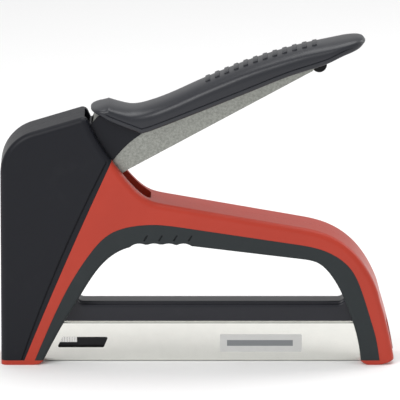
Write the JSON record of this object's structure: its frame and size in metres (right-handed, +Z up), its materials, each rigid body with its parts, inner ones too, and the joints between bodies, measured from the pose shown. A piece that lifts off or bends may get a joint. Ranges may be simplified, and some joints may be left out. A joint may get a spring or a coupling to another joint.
{
  "type": "staple gun",
  "caption": "Hand-operated staple gun: red and black arched housing, squeeze lever over a finger loop, sprung striker and rear-loading staple magazine.",
  "frame": {"origin": "middle of the footprint, on the plane that both feet stand on", "axes": "+X from the nose towards the rear foot, +Y across the width, +Z up from the feet to the lever"},
  "size_m": [0.1965, 0.03, 0.1662],
  "materials": {
    "red_plastic": "moulded, satin gloss",
    "cover_plastic": "moulded, fine texture",
    "soft_grip": "soft-touch overmould",
    "lever_plastic": "moulded, slight sheen",
    "bar_plastic": "moulded, fine texture",
    "bright_chrome": "bright plated sheet",
    "plain_steel": "galvanised sheet",
    "spring_steel": "drawn wire",
    "bright_staples": "galvanised wire, glued strip",
    "black_steel": "black oxide",
    "brass_bush": "turned",
    "black_rubber": "moulded",
    "label_film": "plain printed film",
    "screw_steel": "zinc plated"
  },
  "bodies": {
    "housing": {"shell_left": "red_plastic", "shell_right": "red_plastic", "cover_left": "cover_plastic", "cover_right": "cover_plastic", "grip_left": "soft_grip", "grip_right": "soft_grip", "housing_screws": "screw_steel", "crossbar": "bar_plastic", "front_plate": "plain_steel", "magazine_channel": "bright_chrome", "magazine_core": "black_steel", "staple_strip": "bright_staples", "magazine_label": "label_film", "pivot_pin": "plain_steel", "return_spring": "spring_steel", "spring_cap": "plain_steel", "stop_buffer": "black_rubber"},
    "lever": {"lever_arm": "plain_steel", "lever_grip": "lever_plastic", "lever_shroud": "cover_plastic", "lever_bumper": "black_rubber", "lift_studs": "plain_steel", "pivot_bush": "brass_bush"},
    "striker": {"driver_blade": "plain_steel", "striker_carriage": "plain_steel", "blade_rivets": "plain_steel", "main_spring": "spring_steel"},
    "loader": {"pusher_rod": "plain_steel", "pusher_spring": "spring_steel", "loader_catch": "black_steel"},
    "pusher": {"pusher": "black_steel"}
  },
  "joints": [
    {"name": "lever_squeeze", "type": "hinge", "parent": "housing", "child": "lever", "pos_m": [-0.053, 0, 0.099], "axis": [0, 1, 0], "range_deg": [0, 37], "stiffness_Nm_per_rad": 1, "springref_deg": -20.05},
    {"name": "striker_lift", "type": "slide", "parent": "housing", "child": "striker", "axis": [0, 0, 1], "range_m": [0, 0.0198], "deforming": ["main_spring"]},
    {"name": "loader_pull", "type": "slide", "parent": "housing", "child": "loader", "axis": [1, 0, 0], "range_m": [0, 0.12]},
    {"name": "pusher_slide", "type": "slide", "parent": "loader", "child": "pusher", "axis": [1, 0, 0], "range_m": [0, 0.07], "stiffness_N_per_m": 20, "springref_m": -0.08, "deforming": ["pusher_spring"]}
  ],
  "couplings": [
    {"joint": "striker_lift", "follows": "lever_squeeze", "m_per_rad": 0.03046}
  ]
}
